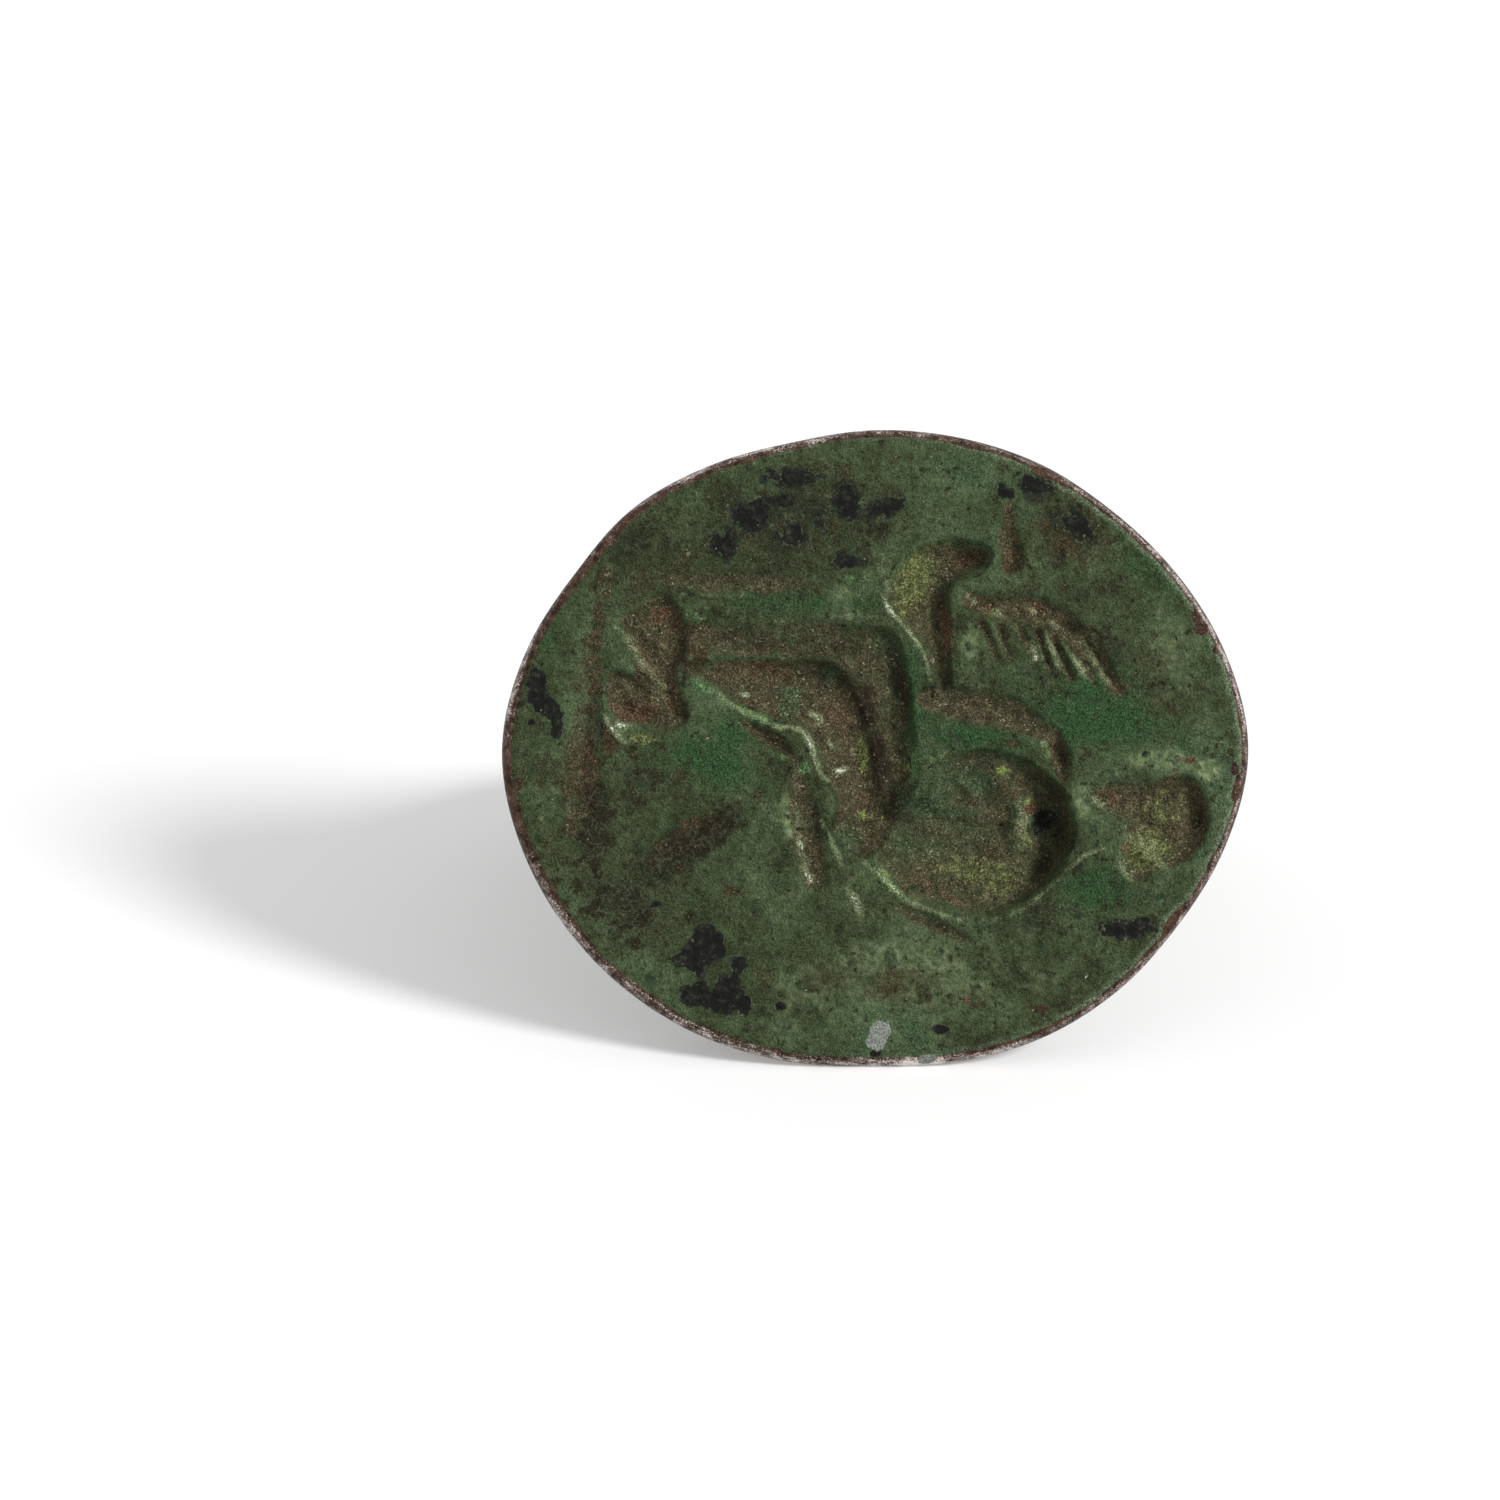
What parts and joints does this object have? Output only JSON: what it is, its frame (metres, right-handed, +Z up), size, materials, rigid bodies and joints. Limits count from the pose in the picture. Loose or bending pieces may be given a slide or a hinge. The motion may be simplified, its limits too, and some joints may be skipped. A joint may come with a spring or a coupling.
{
  "type": "finger ring",
  "caption": "Ancient bronze seal ring: a large oval plate engraved with a seated figure, soldered to a tapering stirrup-shaped hoop.",
  "frame": {"origin": "on the ground under the middle of the ring, which leans back on the plate's lower edge and the hoop's back", "axes": "+X along the plate's long axis, to the right seen from the face; +Y away from the face, towards the hoop's back; +Z up"},
  "size_m": [0.025, 0.0242, 0.0196],
  "materials": {
    "patina_bronze": "matt green and brown patina over cast bronze, with bare metal worn through at the rim",
    "hoop_bronze": "handled bronze, brown, with green patina in the hollows",
    "solder": "dull grey-green hard solder"
  },
  "bodies": {
    "root": {"seal_plate": "patina_bronze", "hoop": "hoop_bronze", "solder_left": "solder", "solder_right": "solder"}
  },
  "joints": []
}
